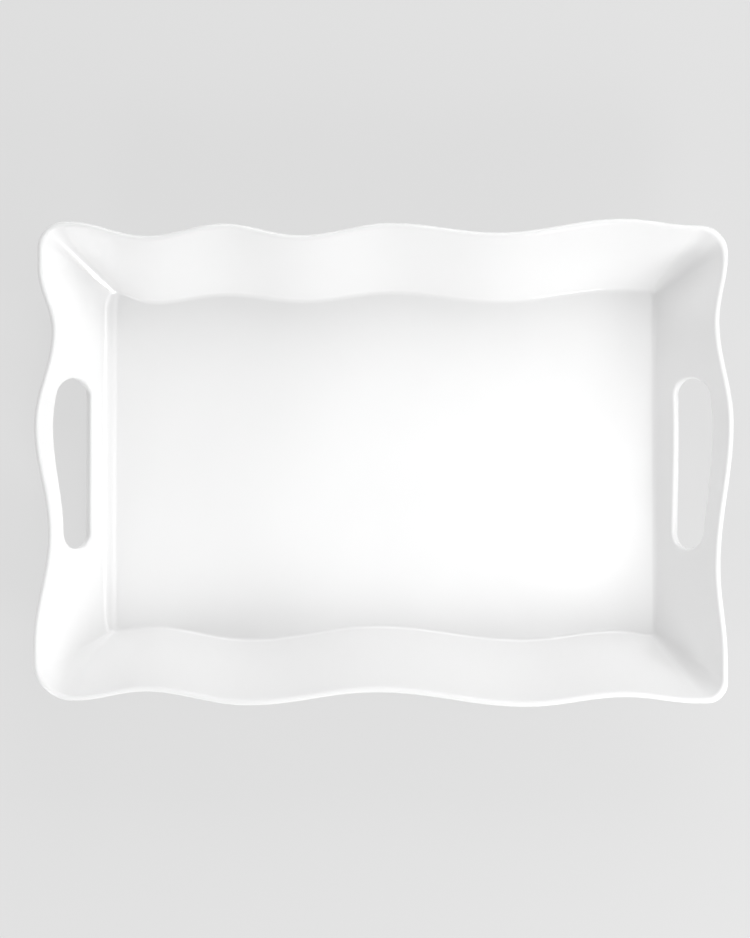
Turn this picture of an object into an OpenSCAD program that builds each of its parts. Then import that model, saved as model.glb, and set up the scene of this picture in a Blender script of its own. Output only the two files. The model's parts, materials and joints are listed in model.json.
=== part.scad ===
// Serving tray with a ruffled rim and a hand hole in each end.
// A flat floor stands on a low foot. Four flared walls rise from it and meet in mitred corners.
// The long walls ripple from the floor to the rim. The end walls ripple only towards the rim.
// All sizes are in millimetres. The origin is under the middle of the foot, +X to the right
// along the tray, +Y to the back and +Z up.

/* [Overall] */
// Length of the rim from end to end
overall_length = 508; // [480:1:540]
// Width of the rim from front to back
overall_width = 355; // [340:1:375]
// Height of the rim above the table
rim_height = 62; // [54:1:72]

/* [Body] */
// Thickness of the floor and of the walls
body_thickness = 6.5; // [5:0.5:7]
// Height of the foot under the floor
foot_height = 2.5; // [2:0.5:5]
// Width of the foot
foot_width = 8; // [5:1:12]
// How far the foot stands in from the edge of the floor
foot_inset = 8; // [5:1:20]
// Corner radius of the foot
foot_corner = 22; // [18:1:40]

/* [Walls] */
// How far a long wall leans out between the floor and the rim
long_wall_run = 48.5; // [44:0.5:54]
// How far an end wall leans out between the floor and the rim
end_wall_run = 53; // [48:0.5:58]
// Radius of the cove at the foot of a long wall
long_cove = 5; // [3:0.5:8]
// Radius of the cove at the foot of the left end wall
left_cove = 16; // [10:0.5:18]
// Radius of the cove at the foot of the right end wall
right_cove = 6; // [4:0.5:12]
// Radius of the cove at the foot of a corner
corner_cove = 5; // [3:0.5:8]
// Radius of the crease between two walls where it starts at the floor
crease_radius = 3; // [2:0.5:6]
// Strength of the ripples, where 1 is the usual depth
ripple = 1; // [0.2:0.1:1.2]

/* [Rim] */
// Thickness of the rounded lip
lip_thickness = 5; // [4:0.5:6]
// Share of the wall below the lip
lip_start = 0.9; // [0.86:0.01:0.94]
// Rim corner radius, back right
back_right_radius = 20; // [10:1:20]
// Rim corner radius, front right
front_right_radius = 15; // [8:1:26]
// Rim corner radius, front left
front_left_radius = 28; // [10:1:30]
// Rim corner radius, back left
back_left_radius = 20; // [10:1:22]

/* [Hand holes] */
// Length of a hand hole from tip to tip
hole_length = 125; // [110:1:132]
// Middle of a hand hole as a share of the wall from the cove to the lip
hole_middle = 0.49; // [0.47:0.01:0.51]
// How far a hand hole reaches above its middle, as the same share
hole_above = 0.28; // [0.2:0.01:0.3]
// How far the left hand hole reaches below its middle, as the same share
left_hole_below = 0.325; // [0.2:0.005:0.34]
// How far the right hand hole reaches below its middle, as the same share
right_hole_below = 0.24; // [0.2:0.005:0.34]
// Length of the rounded tip of a hand hole
hole_tip = 12; // [10:1:20]

/* [Hidden] */

BACK = 0;
RIGHT = 1;
FRONT = 2;
LEFT = 3;

glaze = [0.96, 0.96, 0.94];
bare_clay = [0.86, 0.83, 0.78];

floor_top = foot_height + body_thickness;
lip_radius = lip_thickness / 2;
half_length = overall_length / 2;
half_width = overall_width / 2;
$fn = 48;

// Each row is one crest or hollow of a wall: its place along the wall, how far the rim
// stands in from the widest crest there, and how far the floor edge does.
back_rows = [
    [-229, 2, 3],
    [-173, 12.5, 10],
    [-117, 3.5, 4],
    [-61, 12, 9],
    [5, 3, 2.5],
    [83, 10, 9.5],
    [174, 0, 0.5],
    [230, 5, 1]
];
right_rows = [
    [-152, 3.5, 1.5],
    [-102, 10, 1.5],
    [-29, 0, 1.5],
    [76.5, 10, 1.5],
    [143, 5, 1.5]
];
front_rows = [
    [-227, 3, 4],
    [-175, 7.5, 7],
    [-103, 0.5, 0.5],
    [5, 11, 10.5],
    [99, 1.5, 0.5],
    [173, 11.5, 10],
    [223.5, 5, 7]
];
left_rows = [
    [-132, 0, 3],
    [-52, 10.5, 3],
    [27, 0, 3],
    [95, 12.5, 3],
    [142, 2, 3]
];
// The walls in turn round the tray, each looked at from inside with +Y outward.
rows = [back_rows, right_rows, front_rows, left_rows];
turn = [0, -90, 180, 90];
corner_radius = [back_right_radius, front_right_radius, front_left_radius, back_left_radius];

// Length of wall next to a corner over which the ripples fan out to the mitre.
fan_length = 52;
arc_steps = 3;
cove_steps = 4;
wall_steps = 3;
lip_steps = 7;
tip_steps = 5;
station_gap = 10;

function is_end(side) = side == LEFT || side == RIGHT;
function next(side) = (side + 1) % 4;
function before(side) = (side + 3) % 4;
function half(side) = is_end(side) ? half_length : half_width;
function run(side) = is_end(side) ? end_wall_run : long_wall_run;
function cove(side) = side == LEFT ? left_cove : side == RIGHT ? right_cove : long_cove;
function first(list) = list[0];
function last(list) = list[len(list) - 1];
function smooth(t) = (1 - cos(180 * min(1, max(0, t)))) / 2;
function mix(a, b, t) = a + (b - a) * t;

// Value in column c of the rows at a place along the wall, eased from row to row.
function eased(list, place, c) =
    place <= first(list)[0] ? first(list)[c]
    : place >= last(list)[0] ? last(list)[c]
    : let (i = max([for (k = [0 : len(list) - 2]) if (list[k][0] <= place) k]))
      mix(list[i][c], list[i + 1][c],
          smooth((place - list[i][0]) / (list[i + 1][0] - list[i][0])));

function rim_out(side, place) = half(side) - ripple * eased(rows[side], place, 1);
function floor_out(side, place) =
    half(side) - run(side) - ripple * eased(rows[side], place, 2);

// Where the rims and the floor edges of neighbouring walls would cross.
function rim_reach_end(side) = rim_out(next(side), -1000);
function rim_reach_start(side) = rim_out(before(side), 1000);
function floor_reach_end(side) = floor_out(next(side), -1000);
function floor_reach_start(side) = floor_out(before(side), 1000);
function radius_end(side) = corner_radius[side];
function radius_start(side) = corner_radius[before(side)];
function bend_end(side) = rim_reach_end(side) - radius_end(side);
function bend_start(side) = rim_reach_start(side) - radius_start(side);
function stop_end(side) = bend_end(side) + radius_end(side) * PI / 4;
function stop_start(side) = bend_start(side) + radius_start(side) * PI / 4;

// Point of the rim at a distance s along the wall, bending round the corner at either end.
function bent(reach, out, r, over) =
    [reach - r + r * sin(over * 180 / PI / r), out - r + r * cos(over * 180 / PI / r)];
function rim_point(side, s) =
    s > bend_end(side) ?
        bent(rim_reach_end(side), rim_out(side, 1000), radius_end(side), s - bend_end(side))
    : s < -bend_start(side) ?
        let (p = bent(rim_reach_start(side), rim_out(side, -1000), radius_start(side),
                      -s - bend_start(side)))
        [-p[0], p[1]]
    : [s, rim_out(side, s)];

// Place along the floor edge that belongs to a distance s along the rim, up to the bend.
function fanned(s, reach, bend) =
    let (from = reach - fan_length,
         straight = fan_length - crease_radius,
         m = (bend - from) / straight,
         t = (s - from) / (bend - from))
    s < from ? s : from + straight * (m * t + (1 - m) * t * t);
function floor_bent(side, s, reach, out, r, bend) =
    s > bend ? bent(reach, out, crease_radius, (s - bend) * crease_radius / r)
    : [fanned(s, reach, bend), floor_out(side, s)];
function floor_point(side, s) =
    s > 0 ?
        floor_bent(side, s, floor_reach_end(side), floor_out(side, 1000), radius_end(side),
                   bend_end(side))
    : let (p = floor_bent(side, -s, floor_reach_start(side), floor_out(side, -1000),
                          radius_start(side), bend_start(side)),
           out = -s > bend_start(side) ? p[1] : floor_out(side, s))
      [-p[0], out];

function cove_at(side, s) =
    let (gap = s > 0 ? stop_end(side) - s : stop_start(side) + s)
    mix(corner_cove, cove(side), smooth(gap / fan_length));

// Lean of a wall with a given run and cove, measured up from level.
function lean(w, r) =
    let (d = w - lip_radius, h = rim_height - lip_radius - floor_top - r)
    atan2(h, d) + asin((r + lip_radius) / norm([d, h]));

// Points of the wall section as distance out from the floor edge and height.
function cove_point(w, r, depth, t) =
    let (a = lean(w, r) * t)
    [(r + depth) * sin(a), floor_top + r - (r + depth) * cos(a)];
function lip_point(w, r, a) =
    [w - lip_radius + lip_radius * cos(a), rim_height - lip_radius + lip_radius * sin(a)];
function inner_point(w, r, q) =
    mix(cove_point(w, r, 0, 1), lip_point(w, r, lean(w, r) + 90), q);
function outer_point(w, r, q) =
    mix(cove_point(w, r, body_thickness, 1), lip_point(w, r, lean(w, r) - 90), q);

function placed(side, s, p) =
    let (b = floor_point(side, s),
         e = rim_point(side, s) - b,
         u = e / norm(e))
    [b[0] + u[0] * p[0], b[1] + u[1] * p[0], p[1]];
function width_at(side, s) = norm(rim_point(side, s) - floor_point(side, s));

function cove_fractions() = [for (k = [0 : cove_steps]) k / cove_steps];
function between(a, b, n) = [for (k = [1 : n]) mix(a, b, k / n)];
function reversed(list) = [for (k = [len(list) - 1 : -1 : 0]) list[k]];

// Section of a wall from the floor edge up to share q_top: up the inside, down the outside.
function base_section(side, s, q_top) =
    let (w = width_at(side, s), r = cove_at(side, s), steps = between(0, q_top, wall_steps))
    concat(
        [for (t = cove_fractions()) cove_point(w, r, 0, t)],
        [for (q = steps) inner_point(w, r, q)],
        [for (q = reversed(steps)) outer_point(w, r, q)],
        [for (t = reversed(cove_fractions())) cove_point(w, r, body_thickness, t)]
    );

// Section of a wall between the shares q_low and q_top.
function band_section(side, s, q_low, q_top) =
    let (w = width_at(side, s),
         r = cove_at(side, s),
         steps = concat([q_low], between(q_low, q_top, wall_steps)))
    concat(
        [for (q = steps) inner_point(w, r, q)],
        [for (q = reversed(steps)) outer_point(w, r, q)]
    );

// Section of the rounded lip.
function lip_section(side, s) =
    let (w = width_at(side, s), r = cove_at(side, s), a = lean(w, r))
    concat(
        [inner_point(w, r, lip_start)],
        [for (k = [0 : lip_steps]) lip_point(w, r, a + 90 - 180 * k / lip_steps)],
        [outer_point(w, r, lip_start)]
    );

// Height of the hand hole at a place along an end wall, as a share of its full height.
hole_flat = hole_length / 2 - hole_tip;
function hole_below(side) = side == LEFT ? left_hole_below : right_hole_below;
function hole_at(s) =
    abs(s) <= hole_flat ? 1
    : abs(s) >= hole_length / 2 ? 0
    : sqrt(1 - pow((abs(s) - hole_flat) / hole_tip, 2));

// Stations along a wall, closer together round the corners and the tips of the hand hole.
function spaced(a, b) =
    let (n = ceil((b - a) / station_gap))
    [for (k = [0 : n - 1]) mix(a, b, k / n)];
function corner_in(side) =
    [for (k = [0 : arc_steps - 1]) mix(-stop_start(side), -bend_start(side), k / arc_steps)];
function corner_out(side) =
    [for (k = [0 : arc_steps]) mix(bend_end(side), stop_end(side), k / arc_steps)];
function tip_places() =
    [for (k = [0 : tip_steps - 1]) hole_flat + hole_tip * sin(90 * (1 - k / tip_steps))];
function stations(side) =
    concat(
        corner_in(side),
        is_end(side) ?
            concat(
                spaced(-bend_start(side), -hole_length / 2),
                [for (p = tip_places()) -p],
                spaced(-hole_flat, hole_flat),
                [hole_flat],
                reversed(tip_places()),
                spaced(hole_length / 2 + station_gap, bend_end(side))
            )
        : spaced(-bend_start(side), bend_end(side)),
        corner_out(side)
    );

// Solid through a list of closed sections, each a ring of the same number of points.
module loft(sections) {
    n = len(sections);
    m = len(sections[0]);
    points = [for (ring = sections) each ring];
    half_m = m / 2;
    // The strip that closes a ring is split the other way, to lie flush with the node below.
    sides = [
        for (i = [0 : n - 2], k = [0 : m - 1])
            let (a = i * m + k,
                 b = i * m + (k + 1) % m,
                 c = (i + 1) * m + (k + 1) % m,
                 d = (i + 1) * m + k)
            each k == m - 1 ? [[a, b, d], [b, c, d]] : [[a, b, c], [a, c, d]]
    ];
    // The ends are closed by pairs of triangles from the inside to the outside of the wall.
    near_end = [
        for (k = [0 : half_m - 2])
            each [[k, m - 1 - k, m - 2 - k], [k, m - 2 - k, k + 1]]
    ];
    far = (n - 1) * m;
    far_end = [for (f = near_end) [far + f[0], far + f[2], far + f[1]]];
    polyhedron(points = points, faces = concat(sides, near_end, far_end));
}

module wall(side) {
    rotate([0, 0, turn[side]])
        loft([
            for (s = stations(side))
                [for (p = base_section(side, s, lip_start)) placed(side, s, p)]
        ]);
}

module end_wall(side) {
    rotate([0, 0, turn[side]])
        loft([
            for (s = stations(side))
                let (q = hole_middle - hole_below(side) * hole_at(s))
                [for (p = base_section(side, s, q)) placed(side, s, p)]
        ]);
}

module handle(side) {
    rotate([0, 0, turn[side]])
        loft([
            for (s = stations(side))
                let (q = hole_middle + hole_above * hole_at(s))
                [for (p = band_section(side, s, q, lip_start)) placed(side, s, p)]
        ]);
}

module rim(side) {
    rotate([0, 0, turn[side]])
        loft([
            for (s = stations(side))
                [for (p = lip_section(side, s)) placed(side, s, p)]
        ]);
}

module foot_outline(inset, corner) {
    x = half_length - end_wall_run - 2 - inset;
    y = half_width - long_wall_run - 12 - inset;
    square([2 * (x - corner), 2 * y], center = true);
    square([2 * x, 2 * (y - corner)], center = true);
    for (i = [-1, 1], j = [-1, 1])
        translate([i * (x - corner), j * (y - corner)])
            circle(r = corner);
}

function turned(p, angle) =
    [p[0] * cos(angle) - p[1] * sin(angle), p[0] * sin(angle) + p[1] * cos(angle)];

// Flat bottom of the tray, with its rippled front and back edges.
module well_floor() {
    color(glaze)
        translate([0, 0, foot_height])
            linear_extrude(body_thickness)
                polygon([
                    for (side = [BACK, RIGHT, FRONT, LEFT], s = stations(side))
                        if (s < stop_end(side)) turned(floor_point(side, s), turn[side])
                ]);
}

// Low foot the tray stands on, left bare where it meets the table.
module foot_ring() {
    color(bare_clay)
        linear_extrude(foot_height)
            difference() {
                foot_outline(foot_inset, foot_corner);
                foot_outline(foot_inset + foot_width, foot_corner - foot_width);
            }
}

// Long wall at the back.
module back_wall() {
    color(glaze) wall(BACK);
}

// Long wall at the front.
module front_wall() {
    color(glaze) wall(FRONT);
}

// Left end wall below the hand hole.
module left_end_wall() {
    color(glaze) end_wall(LEFT);
}

// Right end wall below the hand hole.
module right_end_wall() {
    color(glaze) end_wall(RIGHT);
}

// Grip over the left hand hole, with the legs that carry it.
module left_handle() {
    color(glaze) handle(LEFT);
}

// Grip over the right hand hole, with the legs that carry it.
module right_handle() {
    color(glaze) handle(RIGHT);
}

// Rounded lip along the back.
module back_rim() {
    color(glaze) rim(BACK);
}

// Rounded lip along the front.
module front_rim() {
    color(glaze) rim(FRONT);
}

// Rounded lip over the left grip.
module left_rim() {
    color(glaze) rim(LEFT);
}

// Rounded lip over the right grip.
module right_rim() {
    color(glaze) rim(RIGHT);
}

well_floor();
foot_ring();
back_wall();
front_wall();
left_end_wall();
right_end_wall();
left_handle();
right_handle();
back_rim();
front_rim();
left_rim();
right_rim();
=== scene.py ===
"""Glazed china serving tray with a ruffled rim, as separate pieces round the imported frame."""

import json
import math

import bmesh
import bpy
import numpy as np
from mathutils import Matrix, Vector, kdtree

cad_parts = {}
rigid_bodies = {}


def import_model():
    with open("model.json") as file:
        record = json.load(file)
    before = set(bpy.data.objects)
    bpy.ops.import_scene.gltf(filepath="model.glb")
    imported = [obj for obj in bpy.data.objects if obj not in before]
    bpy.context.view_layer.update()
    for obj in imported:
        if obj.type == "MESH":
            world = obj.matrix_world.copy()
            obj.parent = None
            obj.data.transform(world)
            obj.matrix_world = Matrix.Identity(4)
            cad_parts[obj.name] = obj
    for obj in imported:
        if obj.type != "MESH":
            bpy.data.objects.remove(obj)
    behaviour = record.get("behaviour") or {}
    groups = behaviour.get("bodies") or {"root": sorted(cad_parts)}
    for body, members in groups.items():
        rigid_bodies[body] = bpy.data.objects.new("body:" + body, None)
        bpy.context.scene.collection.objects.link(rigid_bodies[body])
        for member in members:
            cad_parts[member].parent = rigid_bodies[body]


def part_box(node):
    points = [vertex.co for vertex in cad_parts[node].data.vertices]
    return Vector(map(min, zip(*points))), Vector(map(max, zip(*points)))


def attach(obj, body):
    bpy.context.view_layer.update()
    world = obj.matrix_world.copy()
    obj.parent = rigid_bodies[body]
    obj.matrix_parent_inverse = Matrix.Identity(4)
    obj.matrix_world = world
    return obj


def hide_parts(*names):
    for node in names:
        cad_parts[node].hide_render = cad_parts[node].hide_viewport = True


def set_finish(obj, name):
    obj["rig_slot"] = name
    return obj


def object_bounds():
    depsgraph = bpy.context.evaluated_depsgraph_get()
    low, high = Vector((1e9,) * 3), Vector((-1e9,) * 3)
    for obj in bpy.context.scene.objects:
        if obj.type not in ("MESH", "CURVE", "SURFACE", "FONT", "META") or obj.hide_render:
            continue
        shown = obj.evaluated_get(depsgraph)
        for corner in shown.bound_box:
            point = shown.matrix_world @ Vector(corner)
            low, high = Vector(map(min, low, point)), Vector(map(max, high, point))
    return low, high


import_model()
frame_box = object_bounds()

bl_info = {
    "name": "Ruffled serving tray",
    "version": (1, 0, 0),
    "blender": (4, 5, 0),
    "location": "View3D > Sidebar > Tray",
    "description": "Builds a glazed serving tray with a ruffled rim and two hand holes",
    "category": "Add Mesh",
}

# ---------------------------------------------------------------- sizes from the frame

LOW, HIGH = (Vector(corner) for corner in frame_box)
FLOOR_LOW, FLOOR_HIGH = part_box("well_floor")
FOOT_LOW, FOOT_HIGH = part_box("foot_ring")

# Each row is one crest or hollow of a wall, in metres: its place along the wall, how far
# the rim stands in from the widest crest there, and how far the floor edge does. The walls
# are looked at from inside, and their places run clockwise round the tray.
BACK_RIPPLES = (
    (-0.229, 0.002, 0.003),
    (-0.173, 0.0125, 0.010),
    (-0.117, 0.0035, 0.004),
    (-0.061, 0.012, 0.009),
    (0.005, 0.003, 0.0025),
    (0.083, 0.010, 0.0095),
    (0.174, 0.0, 0.0005),
    (0.230, 0.005, 0.001),
)
RIGHT_RIPPLES = (
    (-0.152, 0.0035, 0.0015),
    (-0.102, 0.010, 0.0015),
    (-0.029, 0.0, 0.0015),
    (0.0765, 0.010, 0.0015),
    (0.143, 0.005, 0.0015),
)
FRONT_RIPPLES = (
    (-0.227, 0.003, 0.004),
    (-0.175, 0.0075, 0.007),
    (-0.103, 0.0005, 0.0005),
    (0.005, 0.011, 0.0105),
    (0.099, 0.0015, 0.0005),
    (0.173, 0.0115, 0.010),
    (0.2235, 0.005, 0.007),
)
LEFT_RIPPLES = (
    (-0.132, 0.0, 0.003),
    (-0.052, 0.0105, 0.003),
    (0.027, 0.0, 0.003),
    (0.095, 0.0125, 0.003),
    (0.142, 0.002, 0.003),
)

# How late a crease opens out to the rim's corner radius on its way up: 1 is evenly.
BACK_LEFT_OPENING = 3.0
BACK_RIGHT_OPENING = 1.0
FRONT_RIGHT_OPENING = 1.0
FRONT_LEFT_OPENING = 1.8

# How far from a corner its shape starts to take over from the wall's, in metres.
FAN_LENGTH = 0.052
# A place past either end of any wall, in metres.
FAR = 10.0
# The longest gap between two stations of a wall, in metres.
STATION_GAP = 0.0025
CORNER_STEPS = 12
COVE_STEPS = 8
WALL_STEPS = 7
# Odd, so that a ring of the lip has an even number of points and its ends can be closed.
LIP_STEPS = 15
TIP_STEPS = 14
EDGE_STEPS = 6
# The lower part of the foot that is rounded, as a share of its height.
FOOT_ROUNDING = 0.45
FOOT_EDGE_STEPS = 5
FOOT_CORNER_STEPS = 16
# Two points nearer than this are one point, in metres.
SAME_POINT = 2e-6
# The face mark for glazed skin, as against the joints inside the china.
SKIN = "glazed_skin"

# Scales of the noise in the glaze and the clay, and heights of their bumps in metres.
CLOUD_SCALE = 9.0
HAZE_SCALE = 35.0
SWAY_SCALE = 14.0
SWAY_HEIGHT = 0.0004
PEEL_SCALE = 420.0
PEEL_HEIGHT = 0.00002
GRAIN_SCALE = 240.0
GRIT_SCALE = 900.0
GRIT_HEIGHT = 0.0002
# The least and the greatest roughness of the glaze and of the clay.
GLAZE_ROUGHNESS = (0.28, 0.36)
CLAY_ROUGHNESS = (0.72, 0.9)
# The part of the noise that is stretched over the full range of a value.
NOISE_LOW = 0.3
NOISE_HIGH = 0.7

# Where the camera looks, at the level of the rim, in metres.
CAMERA_AIM = (-0.0064, -0.0049)
# The camera's sensor in millimetres.
SENSOR_WIDTH = 36.0
# Half the side of the stage floor, in metres.
STAGE_REACH = 6.0


class TraySizes(bpy.types.PropertyGroup):
    """Sizes of the floor, the walls and the rim"""

    length: bpy.props.FloatProperty(
        name="Length", description="Length of the rim from end to end",
        default=0.508, unit="LENGTH")
    width: bpy.props.FloatProperty(
        name="Width", description="Width of the rim from front to back",
        default=0.355, unit="LENGTH")
    rim_height: bpy.props.FloatProperty(
        name="Rim height", description="Height of the rim above the table",
        default=HIGH.z, unit="LENGTH")
    floor_top: bpy.props.FloatProperty(
        name="Floor top", description="Height of the floor inside the tray",
        default=FLOOR_HIGH.z, unit="LENGTH")
    thickness: bpy.props.FloatProperty(
        name="Thickness", description="Thickness of the floor and of the walls",
        default=FLOOR_HIGH.z - FLOOR_LOW.z, unit="LENGTH")
    long_run: bpy.props.FloatProperty(
        name="Long wall run", description="How far a long wall leans out up to the rim",
        default=0.0485, unit="LENGTH")
    end_run: bpy.props.FloatProperty(
        name="End wall run", description="How far an end wall leans out up to the rim",
        default=0.053, unit="LENGTH")
    long_cove: bpy.props.FloatProperty(
        name="Long wall cove", description="Radius at the foot of a long wall",
        default=0.005, unit="LENGTH")
    left_cove: bpy.props.FloatProperty(
        name="Left cove", description="Radius at the foot of the left end wall",
        default=0.016, unit="LENGTH")
    right_cove: bpy.props.FloatProperty(
        name="Right cove", description="Radius at the foot of the right end wall",
        default=0.006, unit="LENGTH")
    corner_cove: bpy.props.FloatProperty(
        name="Corner cove", description="Radius at the foot of a corner",
        default=0.005, unit="LENGTH")
    lip_thickness: bpy.props.FloatProperty(
        name="Lip thickness", description="Thickness of the rounded lip",
        default=0.005, unit="LENGTH")
    lip_start: bpy.props.FloatProperty(
        name="Lip start", description="Share of the wall below the lip",
        default=0.9, subtype="FACTOR")
    back_right: bpy.props.FloatProperty(
        name="Back right corner", description="Rim corner radius, back right",
        default=0.020, unit="LENGTH")
    front_right: bpy.props.FloatProperty(
        name="Front right corner", description="Rim corner radius, front right",
        default=0.015, unit="LENGTH")
    front_left: bpy.props.FloatProperty(
        name="Front left corner", description="Rim corner radius, front left",
        default=0.028, unit="LENGTH")
    back_left: bpy.props.FloatProperty(
        name="Back left corner", description="Rim corner radius, back left",
        default=0.020, unit="LENGTH")
    crease: bpy.props.FloatProperty(
        name="Crease radius", description="Radius of a corner crease at the floor",
        default=0.003, unit="LENGTH")


class HandHoleSizes(bpy.types.PropertyGroup):
    """Sizes of the hand hole in each end wall"""

    length: bpy.props.FloatProperty(
        name="Length", description="Length of a hand hole from tip to tip",
        default=0.125, unit="LENGTH")
    tip: bpy.props.FloatProperty(
        name="Tip", description="Length of the rounded tip of a hand hole",
        default=0.012, unit="LENGTH")
    middle: bpy.props.FloatProperty(
        name="Middle", description="Middle of a hole, as a share of the wall up to the lip",
        default=0.49, subtype="FACTOR")
    above: bpy.props.FloatProperty(
        name="Above", description="Reach above the middle, as the same share",
        default=0.28, subtype="FACTOR")
    left_below: bpy.props.FloatProperty(
        name="Left below", description="Reach of the left hole below the middle",
        default=0.325, subtype="FACTOR")
    right_below: bpy.props.FloatProperty(
        name="Right below", description="Reach of the right hole below the middle",
        default=0.24, subtype="FACTOR")
    edge: bpy.props.FloatProperty(
        name="Edge radius", description="Radius of the softened edges of the hole",
        default=0.0022, unit="LENGTH")


class FootSizes(bpy.types.PropertyGroup):
    """Sizes of the foot under the floor"""

    width: bpy.props.FloatProperty(
        name="Width", description="Width of the foot", default=0.008, unit="LENGTH")
    corner: bpy.props.FloatProperty(
        name="Corner radius", description="Corner radius of the foot",
        default=0.022, unit="LENGTH")


class TrayFinish(bpy.types.PropertyGroup):
    """Colours and gloss of the glaze and the bare clay"""

    glaze: bpy.props.FloatVectorProperty(
        name="Glaze", description="Colour of the white glaze",
        default=(0.87, 0.87, 0.87), size=3, subtype="COLOR")
    pooled_glaze: bpy.props.FloatVectorProperty(
        name="Pooled glaze", description="Colour where the glaze lies a little thicker",
        default=(0.852, 0.852, 0.852), size=3, subtype="COLOR")
    clay: bpy.props.FloatVectorProperty(
        name="Clay", description="Colour of the bare clay under the foot",
        default=(0.74, 0.70, 0.63), size=3, subtype="COLOR")
    fired_clay: bpy.props.FloatVectorProperty(
        name="Fired clay", description="Warmer tint in the bare clay",
        default=(0.66, 0.60, 0.52), size=3, subtype="COLOR")


class StudioSetup(bpy.types.PropertyGroup):
    """Camera and lights"""

    distance: bpy.props.FloatProperty(
        name="Camera distance", description="From the camera to the rim",
        default=1.8, unit="LENGTH")
    tilt: bpy.props.FloatProperty(
        name="Camera tilt", description="Lean of the camera towards the front",
        default=math.radians(1.8), subtype="ANGLE")
    lens: bpy.props.FloatProperty(
        name="Lens", description="Focal length of the camera in millimetres", default=119.22)
    light: bpy.props.FloatProperty(
        name="Softboxes", description="Strength of the softboxes", default=1.0)
    fill: bpy.props.FloatProperty(
        name="Fill", description="Strength of the even light all round", default=0.49)
    glow: bpy.props.FloatProperty(
        name="Table glow", description="Light that comes up through the table", default=0.575)
    backdrop: bpy.props.FloatVectorProperty(
        name="Backdrop", description="Colour of the floor the tray stands on",
        default=(0.16, 0.16, 0.16), size=3, subtype="COLOR")


# Each softbox: its place, what it points at, its width and height, and its power in watts.
SOFTBOXES = (
    ("right_softbox", (1.35, -0.1, 0.75), (0.0, -0.1, 0.03), (2.2, 0.45), 6.2),
    ("back_softbox", (0.4, 1.35, 0.85), (0.15, 0.0, 0.05), (1.8, 0.8), 11.5),
    ("near_front_softbox", (0.62, -0.85, 0.55), (0.25, 0.15, 0.03), (0.6, 0.4), 5.8),
    ("near_left_softbox", (-0.65, -0.65, 0.55), (0.22, -0.1, 0.05), (0.4, 0.4), 2.0),
    ("high_softbox", (0.42, -0.05, 2.6), (0.1, 0.0, 0.0), (1.1, 1.2), 3.8),
    ("spot_softbox", (0.35, 0.0, 2.5), (0.15, -0.03, 0.0), (0.28, 0.17), 0.5),
)


# ---------------------------------------------------------------- the shape of the walls


def mix(a, b, t):
    return a + (b - a) * t


def smooth(t):
    return (1 - math.cos(math.pi * min(1.0, max(0.0, t)))) / 2


def eased(ripples, place, column):
    """Value in a column at a place along the wall, eased from one crest or hollow to the next."""
    if place <= ripples[0][0]:
        return ripples[0][column]
    for low, high in zip(ripples, ripples[1:]):
        if place <= high[0]:
            return mix(low[column], high[column], smooth((place - low[0]) / (high[0] - low[0])))
    return ripples[-1][column]


class Corner:
    """What a wall needs to know about one of its corners."""

    def __init__(self, wall, other, sign, radius, opening):
        self.floor_reach = other.floor_out(-sign * FAR)
        self.rim_reach = other.rim_out(-sign * FAR)
        self.floor_out = wall.floor_out(sign * FAR)
        self.rim_out = wall.rim_out(sign * FAR)
        self.radius = radius
        self.crease = wall.sizes.crease
        self.opening = opening
        self.bend = self.rim_reach - radius
        self.stop = self.bend + radius * math.pi / 4
        self.fan = self.floor_reach - FAN_LENGTH
        self.run = (self.rim_reach - self.floor_reach + self.rim_out - self.floor_out) / 2


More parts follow.
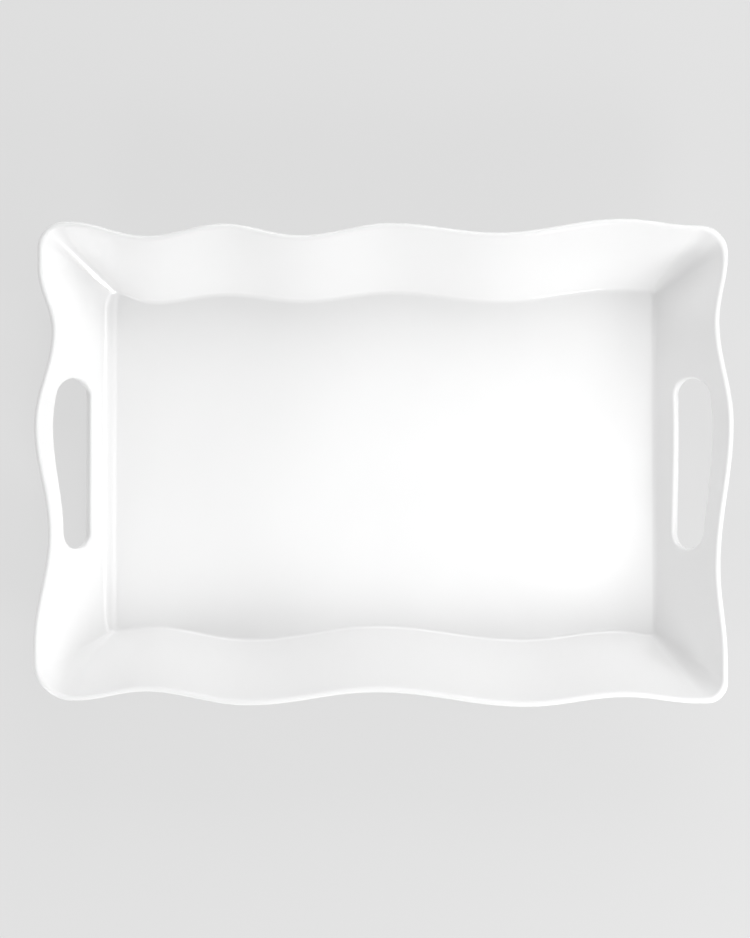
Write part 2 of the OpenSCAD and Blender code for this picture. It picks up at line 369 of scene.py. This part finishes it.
class Wall:
    """One wall, looked at from inside: s runs along it, and shares f run out to the rim."""

    def __init__(self, sizes, turn, half, run, cove, ripples, hole_below=0.0):
        self.sizes = sizes
        self.hole_below = hole_below
        self.turn = math.radians(turn)
        self.half = half
        self.run = run
        self.cove = cove
        self.ripples = ripples

    def rim_out(self, s):
        return self.half - eased(self.ripples, s, 1)

    def floor_out(self, s):
        return self.half - self.run - eased(self.ripples, s, 2)

    def meet(self, behind, ahead, corner_behind, corner_ahead):
        self.behind = Corner(self, behind, -1, *corner_behind)
        self.ahead = Corner(self, ahead, 1, *corner_ahead)

    def corner(self, s):
        return self.ahead if s > 0 else self.behind

    def contour(self, s, f):
        """Plan point a share f of the way from the floor edge out to the rim."""
        c = self.corner(s)
        a = abs(s)
        out = mix(self.floor_out(s), self.rim_out(s), f)
        reach = mix(c.floor_reach, c.rim_reach, f)
        radius = mix(c.crease, c.radius, max(0.0, f) ** c.opening)
        if a <= c.fan:
            x, y = a, out
        elif a <= c.bend:
            straight = reach - radius - c.fan
            t = (a - c.fan) / (c.bend - c.fan)
            slope = (c.bend - c.fan) / straight
            x, y = c.fan + straight * (slope * t + (1 - slope) * t * t), out
        else:
            angle = (a - c.bend) / c.radius
            x = reach - radius + radius * math.sin(angle)
            y = mix(c.floor_out, c.rim_out, f) - radius + radius * math.cos(angle)
        x = math.copysign(x, s)
        return (x * math.cos(self.turn) - y * math.sin(self.turn),
                x * math.sin(self.turn) + y * math.cos(self.turn))

    def section(self, s):
        """Run, cove radius and lean of the wall at s."""
        c = self.corner(s)
        share = smooth((c.stop - abs(s)) / FAN_LENGTH)
        run = mix(c.run, self.rim_out(s) - self.floor_out(s), share)
        cove = mix(self.sizes.corner_cove, self.cove, share)
        lip = self.sizes.lip_thickness / 2
        d = run - lip
        h = self.sizes.rim_height - lip - self.sizes.floor_top - cove
        return run, cove, math.atan2(h, d) + math.asin((cove + lip) / math.hypot(d, h))

    def placed(self, s, run, d, z):
        x, y = self.contour(s, d / run)
        return Vector((x, y, z))

    def on_cove(self, s, depth, t):
        """Point of the cove, a share t of the way round it, at a depth under the glaze."""
        run, cove, lean = self.section(s)
        a = lean * t
        d = (cove + depth) * math.sin(a)
        return self.placed(s, run, d, self.sizes.floor_top + cove - (cove + depth) * math.cos(a))

    def on_lip(self, s, t):
        """Point of the rounded lip, from the inside at t = 0 to the outside at t = 1."""
        run, _, lean = self.section(s)
        lip = self.sizes.lip_thickness / 2
        a = lean + math.pi / 2 - math.pi * t
        return self.placed(s, run, run - lip + lip * math.cos(a),
                           self.sizes.rim_height - lip + lip * math.sin(a))

    def on_wall(self, s, q, outside):
        """Point of the straight part of the wall, a share q of the way up it."""
        run, cove, lean = self.section(s)
        lip = self.sizes.lip_thickness / 2
        depth = self.sizes.thickness if outside else 0.0
        a = lean - math.pi / 2 if outside else lean + math.pi / 2
        low_d = (cove + depth) * math.sin(lean)
        low_z = self.sizes.floor_top + cove - (cove + depth) * math.cos(lean)
        high_d = run - lip + lip * math.cos(a)
        high_z = self.sizes.rim_height - lip + lip * math.sin(a)
        return self.placed(s, run, mix(low_d, high_d, q), mix(low_z, high_z, q))

    def in_wall(self, s, q, share):
        """Point inside the wall, a share of the way from its inside to its outside."""
        return self.on_wall(s, q, False).lerp(self.on_wall(s, q, True), share)


def tray_walls():
    """The four walls, each knowing its two corners."""
    sizes = bpy.context.scene.tray_sizes
    hole = bpy.context.scene.hand_hole_sizes
    half_length, half_width = sizes.length / 2, sizes.width / 2
    back = Wall(sizes, 0, half_width, sizes.long_run, sizes.long_cove, BACK_RIPPLES)
    right = Wall(sizes, -90, half_length, sizes.end_run, sizes.right_cove, RIGHT_RIPPLES,
                 hole.right_below)
    front = Wall(sizes, 180, half_width, sizes.long_run, sizes.long_cove, FRONT_RIPPLES)
    left = Wall(sizes, 90, half_length, sizes.end_run, sizes.left_cove, LEFT_RIPPLES,
                hole.left_below)
    back_left = (sizes.back_left, BACK_LEFT_OPENING)
    back_right = (sizes.back_right, BACK_RIGHT_OPENING)
    front_right = (sizes.front_right, FRONT_RIGHT_OPENING)
    front_left = (sizes.front_left, FRONT_LEFT_OPENING)
    back.meet(left, right, back_left, back_right)
    right.meet(back, front, back_right, front_right)
    front.meet(right, left, front_right, front_left)
    left.meet(front, back, front_left, back_left)
    return {"back": back, "right": right, "front": front, "left": left}


def spaced(start, end):
    """Places from start up to but not including end, at most a station gap apart."""
    n = max(1, math.ceil((end - start) / STATION_GAP))
    return [mix(start, end, k / n) for k in range(n)]


def corner_places(wall):
    """Places round the two corner bends of a wall, up to the creases."""
    first = [mix(-wall.behind.stop, -wall.behind.bend, k / CORNER_STEPS)
             for k in range(CORNER_STEPS)]
    last = [mix(wall.ahead.bend, wall.ahead.stop, k / CORNER_STEPS)
            for k in range(CORNER_STEPS + 1)]
    return first, last


class Station:
    """A place along a wall. At a tip of the hand hole it follows the hole's outline."""

    def __init__(self, s, angle=None):
        self.flat = s
        self.angle = angle

    def place(self, beyond):
        """Distance along the wall, on the outline grown by beyond."""
        if self.angle is None:
            return self.flat
        hole = bpy.context.scene.hand_hole_sizes
        return self.flat + (hole.tip + beyond) * math.sin(self.angle)

    def opening(self, wall, side, beyond):
        """Reach of the hole below (-1) or above (1) its middle, as a share of the wall."""
        if self.angle is None:
            return 0.0
        hole = bpy.context.scene.hand_hole_sizes
        reach = hole.above if side > 0 else wall.hole_below
        slope = (wall.on_wall(0, 1, False) - wall.on_wall(0, 0, False)).length
        return (reach + beyond / slope) * math.cos(self.angle)


def long_stations(wall):
    first, last = corner_places(wall)
    middle = spaced(-wall.behind.bend, wall.ahead.bend)
    return [Station(s) for s in first + middle + last]


def end_stations(wall):
    """Stations of an end wall, with the tips of the hand hole followed by angle."""
    hole = bpy.context.scene.hand_hole_sizes
    flat = hole.length / 2 - hole.tip
    tip = hole.length / 2 + hole.edge
    first, last = corner_places(wall)
    steps = [k / TIP_STEPS for k in range(TIP_STEPS)]
    return (
        [Station(s) for s in first + spaced(-wall.behind.bend, -tip) + [-tip]]
        + [Station(-flat, -math.pi / 2 * (1 - t)) for t in steps]
        + [Station(s, 0.0) for s in spaced(-flat, flat)]
        + [Station(flat, math.pi / 2 * t) for t in steps]
        + [Station(flat, math.pi / 2)]
        + [Station(s) for s in spaced(tip, wall.ahead.bend) + last]
    )


def stations(wall):
    return end_stations(wall) if wall.hole_below else long_stations(wall)


def hole_edge(wall, station, side):
    """Points over the edge of the hand hole from the inside of the wall to the outside.

    side is -1 below the hole and 1 above it. Away from the hole the points run straight
    through the wall along the joint between the end wall and its handle.
    """
    hole = bpy.context.scene.hand_hole_sizes
    turns = [math.pi / 2 * k / EDGE_STEPS for k in range(EDGE_STEPS + 1)]
    depth = hole.edge / wall.sizes.thickness
    inner = [(hole.edge * (1 - math.sin(a)), depth * (1 - math.cos(a))) for a in turns]
    profile = inner + [(beyond, 1 - share) for beyond, share in reversed(inner)]
    points = []
    for beyond, share in profile:
        q = hole.middle + side * station.opening(wall, side, beyond)
        points.append(wall.in_wall(station.place(beyond), q, share))
    return points


# ---------------------------------------------------------------- meshes


def shares(start, end, steps):
    return [mix(start, end, k / steps) for k in range(steps + 1)]


def loft(name, rings, glazed):
    """A closed mesh through rings of an even number of points.

    glazed(i, k) says whether the strip from ring i to ring i + 1, between points k and
    k + 1, is glazed skin. The rest are joints inside the china.
    """
    bm = bmesh.new()
    skin = bm.faces.layers.bool.new(SKIN)
    rows = [[bm.verts.new(p) for p in ring] for ring in rings]
    m = len(rings[0])
    for i in range(len(rows) - 1):
        for k in range(m):
            j = (k + 1) % m
            face = bm.faces.new((rows[i][k], rows[i][j], rows[i + 1][j], rows[i + 1][k]))
            face[skin] = glazed(i, k)
    for row in (rows[0], rows[-1]):
        for k in range(m // 2 - 1):
            bm.faces.new((row[k], row[k + 1], row[m - 2 - k], row[m - 1 - k]))
    return finished(name, bm)


def finished(name, bm):
    """Joins the points that are one point, and makes a smooth object of a bmesh."""
    bmesh.ops.remove_doubles(bm, verts=bm.verts, dist=SAME_POINT)
    bmesh.ops.recalc_face_normals(bm, faces=bm.faces)
    for face in bm.faces:
        face.smooth = True
    mesh = bpy.data.meshes.new(name)
    bm.to_mesh(mesh)
    bm.free()
    piece = bpy.data.objects.new(name, mesh)
    bpy.context.scene.collection.objects.link(piece)
    return piece


def hand_in(piece, slot, *nodes):
    """The piece moves with the tray and stands for its part of the frame."""
    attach(piece, "root")
    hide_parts(*nodes)
    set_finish(piece, slot)
    return piece


def long_wall(name, wall):
    """A rippled long wall from the floor edge up to the lip."""
    hole = bpy.context.scene.hand_hole_sizes
    steps = shares(0, hole.middle, WALL_STEPS)[1:]
    steps += shares(hole.middle, wall.sizes.lip_start, WALL_STEPS)[1:]
    turns = shares(0, 1, COVE_STEPS)
    rings = []
    for station in stations(wall):
        s = station.flat
        inside = [wall.on_cove(s, 0, t) for t in turns]
        inside += [wall.on_wall(s, q, False) for q in steps]
        outside = [wall.on_wall(s, q, True) for q in reversed(steps)]
        outside += [wall.on_cove(s, wall.sizes.thickness, t) for t in reversed(turns)]
        rings.append(inside + outside)
    m = len(rings[0])
    joints = (m // 2 - 1, m - 1)
    return loft(name, rings, lambda i, k: k not in joints)


def end_wall(name, wall):
    """An end wall from the floor edge up to the middle of the hand hole."""
    hole = bpy.context.scene.hand_hole_sizes
    turns = shares(0, 1, COVE_STEPS)
    places = stations(wall)
    rings = []
    for station in places:
        s = station.place(hole.edge)
        top = hole.middle - station.opening(wall, -1, hole.edge)
        steps = shares(0, top, WALL_STEPS)[1:-1]
        edge = hole_edge(wall, station, -1)
        inside = [wall.on_cove(s, 0, t) for t in turns]
        inside += [wall.on_wall(s, q, False) for q in steps]
        outside = [wall.on_wall(s, q, True) for q in reversed(steps)]
        outside += [wall.on_cove(s, wall.sizes.thickness, t) for t in reversed(turns)]
        rings.append(inside + edge + outside)
    m = len(rings[0])
    first = COVE_STEPS + WALL_STEPS
    last = first + 2 * EDGE_STEPS

    def glazed(i, k):
        if first <= k <= last:
            return places[i].angle is not None and places[i + 1].angle is not None
        return k != m - 1

    return loft(name, rings, glazed)


def handle(name, wall):
    """The grip over a hand hole and its legs, up to the lip."""
    hole = bpy.context.scene.hand_hole_sizes
    places = stations(wall)
    rings = []
    for station in places:
        s = station.place(hole.edge)
        low = hole.middle + station.opening(wall, 1, hole.edge)
        steps = shares(low, wall.sizes.lip_start, WALL_STEPS)[1:]
        edge = hole_edge(wall, station, 1)
        inside = [wall.on_wall(s, q, False) for q in reversed(steps)]
        outside = [wall.on_wall(s, q, True) for q in steps]
        rings.append(inside + edge + outside)
    m = len(rings[0])
    first = WALL_STEPS
    last = first + 2 * EDGE_STEPS

    def glazed(i, k):
        if first <= k <= last:
            return places[i].angle is not None and places[i + 1].angle is not None
        return k != m - 1

    return loft(name, rings, glazed)


def rim(name, wall):
    """The rounded lip along the top of one wall."""
    hole = bpy.context.scene.hand_hole_sizes
    start = wall.sizes.lip_start
    rings = []
    for station in stations(wall):
        s = station.place(hole.edge)
        round_top = [wall.on_lip(s, t) for t in shares(0, 1, LIP_STEPS)]
        rings.append([wall.on_wall(s, start, False)] + round_top + [wall.on_wall(s, start, True)])
    m = len(rings[0])
    return loft(name, rings, lambda i, k: k != m - 1)


def floor_plate(name, walls):
    """The flat floor, with the same edge as the feet of the walls."""
    hole = bpy.context.scene.hand_hole_sizes
    top_edge, under_edge = [], []
    for wall in (walls["back"], walls["right"], walls["front"], walls["left"]):
        for station in stations(wall)[:-1]:
            s = station.place(hole.edge)
            top_edge.append(wall.on_cove(s, 0, 0))
            under_edge.append(wall.on_cove(s, wall.sizes.thickness, 0))
    bm = bmesh.new()
    skin = bm.faces.layers.bool.new(SKIN)
    top = [bm.verts.new(p) for p in top_edge]
    under = [bm.verts.new(p) for p in under_edge]
    for face in (bm.faces.new(top), bm.faces.new(under)):
        face[skin] = True
    for k in range(len(top)):
        j = (k + 1) % len(top)
        bm.faces.new((top[k], top[j], under[j], under[k]))
    return finished(name, bm)


def foot(name):
    """The low foot, rounded where it meets the table."""
    sizes = bpy.context.scene.foot_sizes
    half = sizes.width / 2
    x = FOOT_HIGH.x - half
    y = FOOT_HIGH.y - half
    corner = sizes.corner - half
    height = FOOT_HIGH.z
    rounding = height * FOOT_ROUNDING
    profile = [(-half, height), (-half, rounding)]
    profile += [(-half + rounding * (1 - math.cos(a)), rounding * (1 - math.sin(a)))
                for a in shares(0, math.pi / 2, FOOT_EDGE_STEPS)[1:]]
    profile += [(-p, z) for p, z in reversed(profile)]
    bm = bmesh.new()
    bm.faces.layers.bool.new(SKIN)
    path = []
    for cx, cy, start in ((1, 1, 0), (-1, 1, 90), (-1, -1, 180), (1, -1, 270)):
        for a in shares(start, start + 90, FOOT_CORNER_STEPS):
            normal = Vector((math.cos(math.radians(a)), math.sin(math.radians(a)), 0))
            centre = Vector((cx * (x - corner), cy * (y - corner), 0))
            path.append((centre + normal * corner, normal))
    rows = [[bm.verts.new(p + n * d + Vector((0, 0, z))) for d, z in profile] for p, n in path]
    m = len(profile)
    for i, row in enumerate(rows):
        after = rows[(i + 1) % len(rows)]
        for k in range(m):
            j = (k + 1) % m
            bm.faces.new((row[k], row[j], after[j], after[k]))
    return finished(name, bm)


def blend_glaze(pieces):
    """Carries the glaze smoothly over the joints, so the pieces read as one fired body.

    Faces count by their area, so a large flat face such as the floor stays flat in shading.
    """
    tree = kdtree.KDTree(sum(len(p.data.vertices) for p in pieces))
    start, offsets = 0, []
    for piece in pieces:
        offsets.append(start)
        for v in piece.data.vertices:
            tree.insert(v.co, start + v.index)
        start += len(piece.data.vertices)
    tree.balance()
    shared = np.zeros((start, 3))
    owner = np.zeros(start, int)
    for piece, offset in zip(pieces, offsets):
        for v in piece.data.vertices:
            owner[offset + v.index] = min(n for _, n, _ in tree.find_range(v.co, SAME_POINT))
    for piece, offset in zip(pieces, offsets):
        mesh = piece.data
        flags = mesh.attributes[SKIN].data
        for face in mesh.polygons:
            if not flags[face.index].value:
                continue
            corners = [mesh.vertices[i].co for i in face.vertices]
            for k, i in enumerate(face.vertices):
                a = corners[k - 1] - corners[k]
                b = corners[(k + 1) % len(corners)] - corners[k]
                weight = a.angle(b, 0.0) * face.area
                shared[owner[offset + i]] += np.array(face.normal) * weight
    length = np.linalg.norm(shared, axis=1)
    length[length == 0] = 1
    shared /= length[:, None]
    for piece, offset in zip(pieces, offsets):
        mesh = piece.data
        flags = mesh.attributes[SKIN].data
        normals = [None] * len(mesh.loops)
        for face in mesh.polygons:
            for loop in face.loop_indices:
                vertex = offset + mesh.loops[loop].vertex_index
                glazed = flags[face.index].value
                normals[loop] = tuple(shared[owner[vertex]]) if glazed else tuple(face.normal)
        mesh.normals_split_custom_set(normals)


# ---------------------------------------------------------------- materials


def new_material(name):
    """An empty node material with its shader, and the object's own coordinates."""
    material = bpy.data.materials.new(name)
    material.use_nodes = True
    nodes, links = material.node_tree.nodes, material.node_tree.links
    shader = nodes["Principled BSDF"]
    place = nodes.new("ShaderNodeTexCoord").outputs["Object"]
    return material, nodes, links, shader, place


def noise(nodes, links, place, scale, detail=2.0, roughness=0.5):
    node = nodes.new("ShaderNodeTexNoise")
    node.inputs["Scale"].default_value = scale
    node.inputs["Detail"].default_value = detail
    node.inputs["Roughness"].default_value = roughness
    links.new(place, node.inputs["Vector"])
    return node.outputs["Fac"]


def ranged(nodes, links, value, low, high):
    node = nodes.new("ShaderNodeMapRange")
    node.inputs["From Min"].default_value = NOISE_LOW
    node.inputs["From Max"].default_value = NOISE_HIGH
    node.inputs["To Min"].default_value = low
    node.inputs["To Max"].default_value = high
    links.new(value, node.inputs["Value"])
    return node.outputs["Result"]


def blended(nodes, links, factor, low, high):
    node = nodes.new("ShaderNodeMix")
    node.data_type = "RGBA"
    node.inputs["A"].default_value = (*low, 1)
    node.inputs["B"].default_value = (*high, 1)
    links.new(factor, node.inputs["Factor"])
    return node.outputs["Result"]


def bumped(nodes, links, height, distance, strength, under=None):
    node = nodes.new("ShaderNodeBump")
    node.inputs["Distance"].default_value = distance
    node.inputs["Strength"].default_value = strength
    links.new(height, node.inputs["Height"])
    if under is not None:
        links.new(under, node.inputs["Normal"])
    return node.outputs["Normal"]


def glaze_material():
    """Thick glossy white glaze, a little uneven over the hand-pressed body."""
    finish = bpy.context.scene.tray_finish
    material, nodes, links, shader, place = new_material("white_glaze")
    cloud = ranged(nodes, links, noise(nodes, links, place, CLOUD_SCALE), 0.0, 1.0)
    links.new(blended(nodes, links, cloud, finish.glaze, finish.pooled_glaze),
              shader.inputs["Base Color"])
    haze = noise(nodes, links, place, HAZE_SCALE, 3.0)
    links.new(ranged(nodes, links, haze, *GLAZE_ROUGHNESS), shader.inputs["Roughness"])
    sway = noise(nodes, links, place, SWAY_SCALE, 1.0)
    sway_normal = bumped(nodes, links, sway, SWAY_HEIGHT, 0.5)
    peel = noise(nodes, links, place, PEEL_SCALE, 2.0)
    peel_normal = bumped(nodes, links, peel, PEEL_HEIGHT, 0.25, sway_normal)
    links.new(peel_normal, shader.inputs["Normal"])
    shader.inputs["IOR"].default_value = 1.5
    shader.inputs["Coat Weight"].default_value = 0.6
    shader.inputs["Coat Roughness"].default_value = 0.1
    shader.inputs["Coat IOR"].default_value = 1.55
    return material


def clay_material():
    """Dry bare clay where the glaze was wiped from the foot."""
    finish = bpy.context.scene.tray_finish
    material, nodes, links, shader, place = new_material("bare_clay")
    grain = noise(nodes, links, place, GRAIN_SCALE, 6.0, 0.65)
    links.new(blended(nodes, links, ranged(nodes, links, grain, 0.0, 1.0), finish.clay,
                      finish.fired_clay), shader.inputs["Base Color"])
    links.new(ranged(nodes, links, grain, *CLAY_ROUGHNESS), shader.inputs["Roughness"])
    grit = noise(nodes, links, place, GRIT_SCALE, 5.0, 0.7)
    links.new(bumped(nodes, links, grit, GRIT_HEIGHT, 0.6), shader.inputs["Normal"])
    return material


def backdrop_material():
    """Plain floor. Most of its paleness is light of its own, so the shadows stay faint."""
    studio = bpy.context.scene.studio_setup
    material, _, _, shader, _ = new_material("pale_floor")
    shader.inputs["Base Color"].default_value = (*studio.backdrop, 1)
    shader.inputs["Roughness"].default_value = 0.9
    shader.inputs["Specular IOR Level"].default_value = 0.1
    shader.inputs["Emission Color"].default_value = (1, 1, 1, 1)
    shader.inputs["Emission Strength"].default_value = studio.glow
    return material


def glazed_pieces():
    return [o for o in bpy.context.scene.objects if o.get("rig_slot") == "glaze"]


# ---------------------------------------------------------------- operators


class TRAY_OT_floor(bpy.types.Operator):
    """Make the flat floor of the tray"""

    bl_idname = "tray.floor"
    bl_label = "Floor"

    def execute(self, context):
        hand_in(floor_plate("floor_plate", tray_walls()), "glaze", "well_floor")
        return {"FINISHED"}


class TRAY_OT_foot(bpy.types.Operator):
    """Make the low foot under the floor"""

    bl_idname = "tray.foot"
    bl_label = "Foot"

    def execute(self, context):
        piece = hand_in(foot("foot"), "bare_clay", "foot_ring")
        piece.data.materials.append(clay_material())
        return {"FINISHED"}


class TRAY_OT_long_walls(bpy.types.Operator):
    """Make the rippled back and front walls"""

    bl_idname = "tray.long_walls"
    bl_label = "Long walls"

    def execute(self, context):
        walls = tray_walls()
        for side in ("back", "front"):
            hand_in(long_wall(side + "_side", walls[side]), "glaze", side + "_wall")
        return {"FINISHED"}


class TRAY_OT_end_walls(bpy.types.Operator):
    """Make the end walls below the hand holes"""

    bl_idname = "tray.end_walls"
    bl_label = "End walls"

    def execute(self, context):
        walls = tray_walls()
        for side in ("left", "right"):
            hand_in(end_wall(side + "_end", walls[side]), "glaze", side + "_end_wall")
        return {"FINISHED"}


class TRAY_OT_handles(bpy.types.Operator):
    """Make the grips over the hand holes"""

    bl_idname = "tray.handles"
    bl_label = "Handles"

    def execute(self, context):
        walls = tray_walls()
        for side in ("left", "right"):
            hand_in(handle(side + "_grip", walls[side]), "glaze", side + "_handle")
        return {"FINISHED"}


class TRAY_OT_rims(bpy.types.Operator):
    """Make the rounded lip along each wall"""

    bl_idname = "tray.rims"
    bl_label = "Rims"

    def execute(self, context):
        walls = tray_walls()
        for side, wall in walls.items():
            hand_in(rim(side + "_lip", wall), "glaze", side + "_rim")
        return {"FINISHED"}


class TRAY_OT_glaze(bpy.types.Operator):
    """Glaze the china in one smooth coat"""

    bl_idname = "tray.glaze"
    bl_label = "Glaze"

    def execute(self, context):
        pieces = glazed_pieces()
        if not pieces:
            raise RuntimeError("there is nothing to glaze yet")
        blend_glaze(pieces)
        material = glaze_material()
        for piece in pieces:
            piece.data.materials.append(material)
        return {"FINISHED"}


class TRAY_OT_stage(bpy.types.Operator):
    """Set up the floor, the lights and the camera"""

    bl_idname = "tray.stage"
    bl_label = "Stage"

    def execute(self, context):
        scene = context.scene
        studio = scene.studio_setup
        mesh = bpy.data.meshes.new("stage_floor")
        places = [(x * STAGE_REACH, y * STAGE_REACH, 0)
                  for x, y in ((-1, -1), (1, -1), (1, 1), (-1, 1))]
        mesh.from_pydata(places, [], [(0, 1, 2, 3)])
        stage = bpy.data.objects.new("stage_floor", mesh)
        stage.data.materials.append(backdrop_material())
        scene.collection.objects.link(stage)

        world = bpy.data.worlds.new("studio")
        world.use_nodes = True
        world.node_tree.nodes["Background"].inputs["Color"].default_value = (1, 1, 1, 1)
        world.node_tree.nodes["Background"].inputs["Strength"].default_value = studio.fill
        scene.world = world
        for name, place, aim, size, power in SOFTBOXES:
            softbox(name, place, aim, size, power * studio.light)

        camera = bpy.data.objects.new("camera", bpy.data.cameras.new("camera"))
        scene.collection.objects.link(camera)
        camera.data.lens = studio.lens
        camera.data.sensor_fit = "HORIZONTAL"
        camera.data.sensor_width = SENSOR_WIDTH
        aim = Vector((*CAMERA_AIM, HIGH.z))
        camera.location = aim + studio.distance * Vector(
            (0, -math.sin(studio.tilt), math.cos(studio.tilt)))
        camera.rotation_euler = (studio.tilt, 0, 0)
        scene.camera = camera
        scene.view_settings.view_transform = "Standard"
        return {"FINISHED"}


def softbox(name, place, aim, size, power):
    """An oval area light at a place, turned to point at aim."""
    data = bpy.data.lights.new(name, "AREA")
    data.shape = "ELLIPSE"
    data.size, data.size_y = size
    data.energy = power
    light = bpy.data.objects.new(name, data)
    light.location = place
    light.rotation_euler = (Vector(aim) - Vector(place)).to_track_quat("-Z", "Y").to_euler()
    light.visible_camera = False
    bpy.context.scene.collection.objects.link(light)


class TRAY_PT_panel(bpy.types.Panel):
    """Lists the pieces of the tray"""

    bl_idname = "TRAY_PT_panel"
    bl_label = "Ruffled serving tray"
    bl_space_type = "VIEW_3D"
    bl_region_type = "UI"
    bl_category = "Tray"

    def draw(self, context):
        layout = self.layout
        for name in ("tray_sizes", "hand_hole_sizes", "foot_sizes", "tray_finish",
                     "studio_setup"):
            group = getattr(context.scene, name)
            box = layout.box()
            for key in group.__annotations__:
                box.prop(group, key)
        for operator in OPERATORS:
            layout.operator(operator.bl_idname)


GROUPS = {
    "tray_sizes": TraySizes,
    "hand_hole_sizes": HandHoleSizes,
    "foot_sizes": FootSizes,
    "tray_finish": TrayFinish,
    "studio_setup": StudioSetup,
}
OPERATORS = (
    TRAY_OT_floor,
    TRAY_OT_foot,
    TRAY_OT_long_walls,
    TRAY_OT_end_walls,
    TRAY_OT_handles,
    TRAY_OT_rims,
    TRAY_OT_glaze,
    TRAY_OT_stage,
)


def register():
    for name, group in GROUPS.items():
        bpy.utils.register_class(group)
        setattr(bpy.types.Scene, name, bpy.props.PointerProperty(type=group))
    for cls in (*OPERATORS, TRAY_PT_panel):
        bpy.utils.register_class(cls)


def unregister():
    for cls in reversed((*OPERATORS, TRAY_PT_panel)):
        bpy.utils.unregister_class(cls)
    for name, group in GROUPS.items():
        delattr(bpy.types.Scene, name)
        bpy.utils.unregister_class(group)


def main():
    register()
    bpy.ops.tray.floor()
    bpy.ops.tray.foot()
    bpy.ops.tray.long_walls()
    bpy.ops.tray.end_walls()
    bpy.ops.tray.handles()
    bpy.ops.tray.rims()
    bpy.ops.tray.glaze()
    bpy.ops.tray.stage()


if __name__ == "__main__":
    main()
